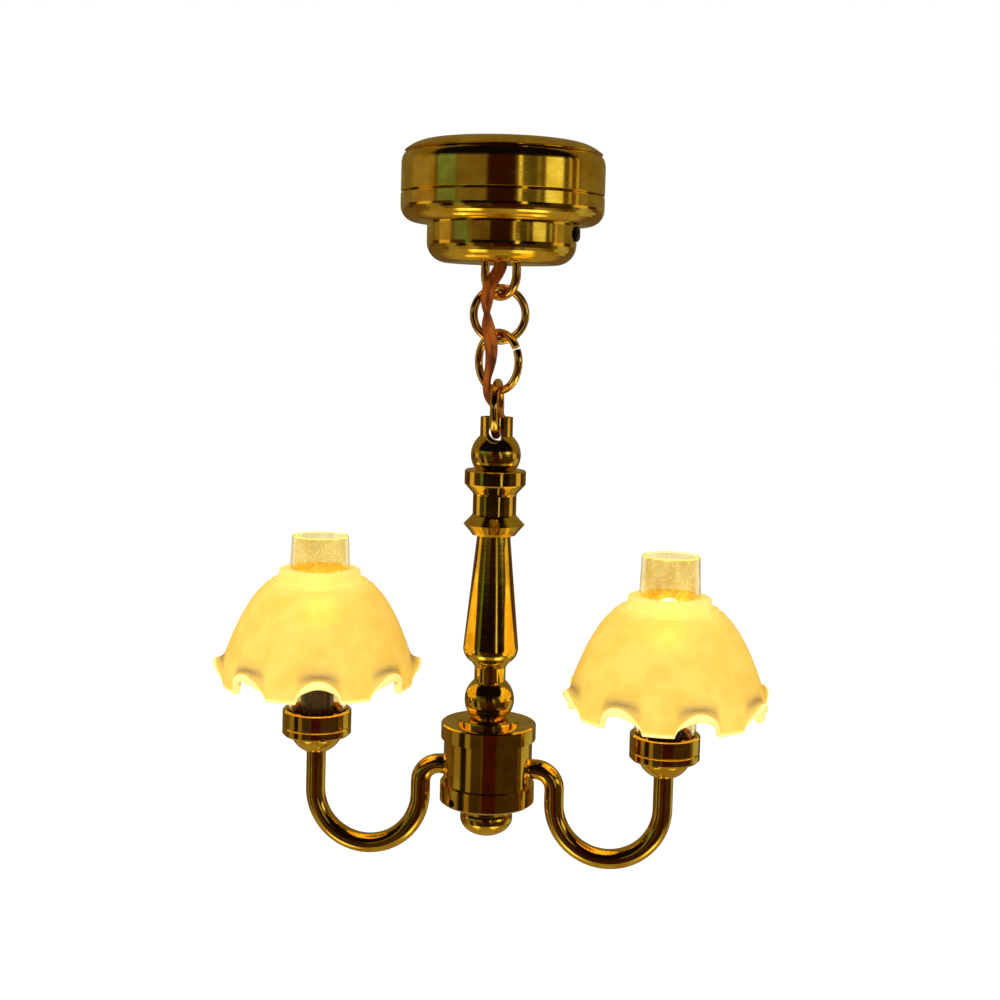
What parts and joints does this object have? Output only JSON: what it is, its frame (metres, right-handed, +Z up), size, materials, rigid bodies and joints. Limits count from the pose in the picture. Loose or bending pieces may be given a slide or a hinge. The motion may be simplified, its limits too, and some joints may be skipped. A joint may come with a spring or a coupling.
{
  "type": "miniature chandelier",
  "caption": "Dolls house ceiling light with a round battery canopy, ring chain, turned column and swan-neck arms carrying frosted scalloped shades.",
  "frame": {"origin": "centre of the flat ceiling face on top of the canopy", "axes": "+Z up, out of the ceiling face; +X towards the arm on the switch side; -Y is the side that is seen from the front"},
  "size_m": [0.0602, 0.022, 0.0788],
  "materials": {
    "gold_plate": "polished gold plating with fine turning lines",
    "ring_brass": "bright drawn wire, slightly redder than the turned pieces",
    "raw_brass": "plain drawn brass",
    "magnet_steel": "nickel-plated steel",
    "black_plastic": "moulded",
    "knob_black": "smooth moulded",
    "board_green": "solder mask",
    "lead_copper": "translucent orange-brown insulation over copper",
    "sleeve_brown": "dark brown lacquered tube with faint lengthwise streaks",
    "led_lens": "clear epoxy, lit warm white",
    "chimney_glass": "clear tube with fine seeds",
    "shade_frost": "frosted, cream, glowing warm where the LED lights it"
  },
  "bodies": {
    "ceiling_base": {"ceiling_cap": "gold_plate", "ceiling_magnet": "magnet_steel"},
    "canopy": {"canopy_drum": "gold_plate", "keeper_ring": "magnet_steel", "battery_holder": "black_plastic", "coin_cell": "magnet_steel", "cell_clip": "raw_brass", "cell_spring": "magnet_steel", "circuit_board": "board_green", "resistor": "black_plastic", "switch_body": "black_plastic", "staple": "gold_plate", "lead_grommet": "black_plastic", "lead_core_a": "lead_copper", "lead_core_b": "lead_copper"},
    "switch": {"switch_lever": "knob_black"},
    "ring_1": {"chain_ring_1": "ring_brass"},
    "ring_2": {"chain_ring_2": "ring_brass"},
    "ring_3": {"chain_ring_3": "ring_brass"},
    "pendant": {"eye_stub": "gold_plate", "column_collar": "gold_plate", "baluster": "gold_plate", "hub_flange": "gold_plate", "hub_cap": "gold_plate", "hub_drum": "gold_plate", "hub_base": "gold_plate", "finial": "gold_plate", "arm_right": "gold_plate", "arm_left": "gold_plate", "cup_right": "gold_plate", "cup_left": "gold_plate", "cup_ring_right": "gold_plate", "cup_ring_left": "gold_plate", "tie_tube": "raw_brass", "tie_nut": "magnet_steel", "set_screw": "knob_black", "arm_lead_right": "lead_copper", "arm_lead_left": "lead_copper", "led_sleeve_right": "sleeve_brown", "led_sleeve_left": "sleeve_brown", "led_right": "led_lens", "led_left": "led_lens", "chimney_right": "chimney_glass", "chimney_left": "chimney_glass", "shade_right": "shade_frost", "shade_left": "shade_frost"}
  },
  "joints": [
    {"name": "canopy_pull_off", "type": "slide", "parent": "ceiling_base", "child": "canopy", "axis": [0, 0, -1], "range_m": [0, 0.012]},
    {"name": "switch_slide", "type": "slide", "parent": "canopy", "child": "switch", "axis": [0, 1, 0], "range_m": [0, 0.0016]},
    {"name": "ring_1_swing", "type": "hinge", "parent": "canopy", "child": "ring_1", "pos_m": [0, 0, -0.0165], "axis": [0.788, -0.6157, 0], "range_deg": [-20, 20], "deforming": ["lead_core_a", "lead_core_b"]},
    {"name": "ring_2_swing", "type": "hinge", "parent": "ring_1", "child": "ring_2", "pos_m": [0, 0, -0.02129], "axis": [0.9511, 0.309, 0], "range_deg": [-20, 20], "deforming": ["lead_core_a", "lead_core_b"]},
    {"name": "ring_3_swing", "type": "hinge", "parent": "ring_2", "child": "ring_3", "pos_m": [0, 0, -0.02672], "axis": [0.766, -0.6428, 0], "range_deg": [-20, 20], "deforming": ["lead_core_a", "lead_core_b"]},
    {"name": "pendant_swing", "type": "hinge", "parent": "ring_3", "child": "pendant", "pos_m": [0, 0, -0.03131], "axis": [0, 1, 0], "range_deg": [-20, 20], "deforming": ["lead_core_a", "lead_core_b"]}
  ]
}
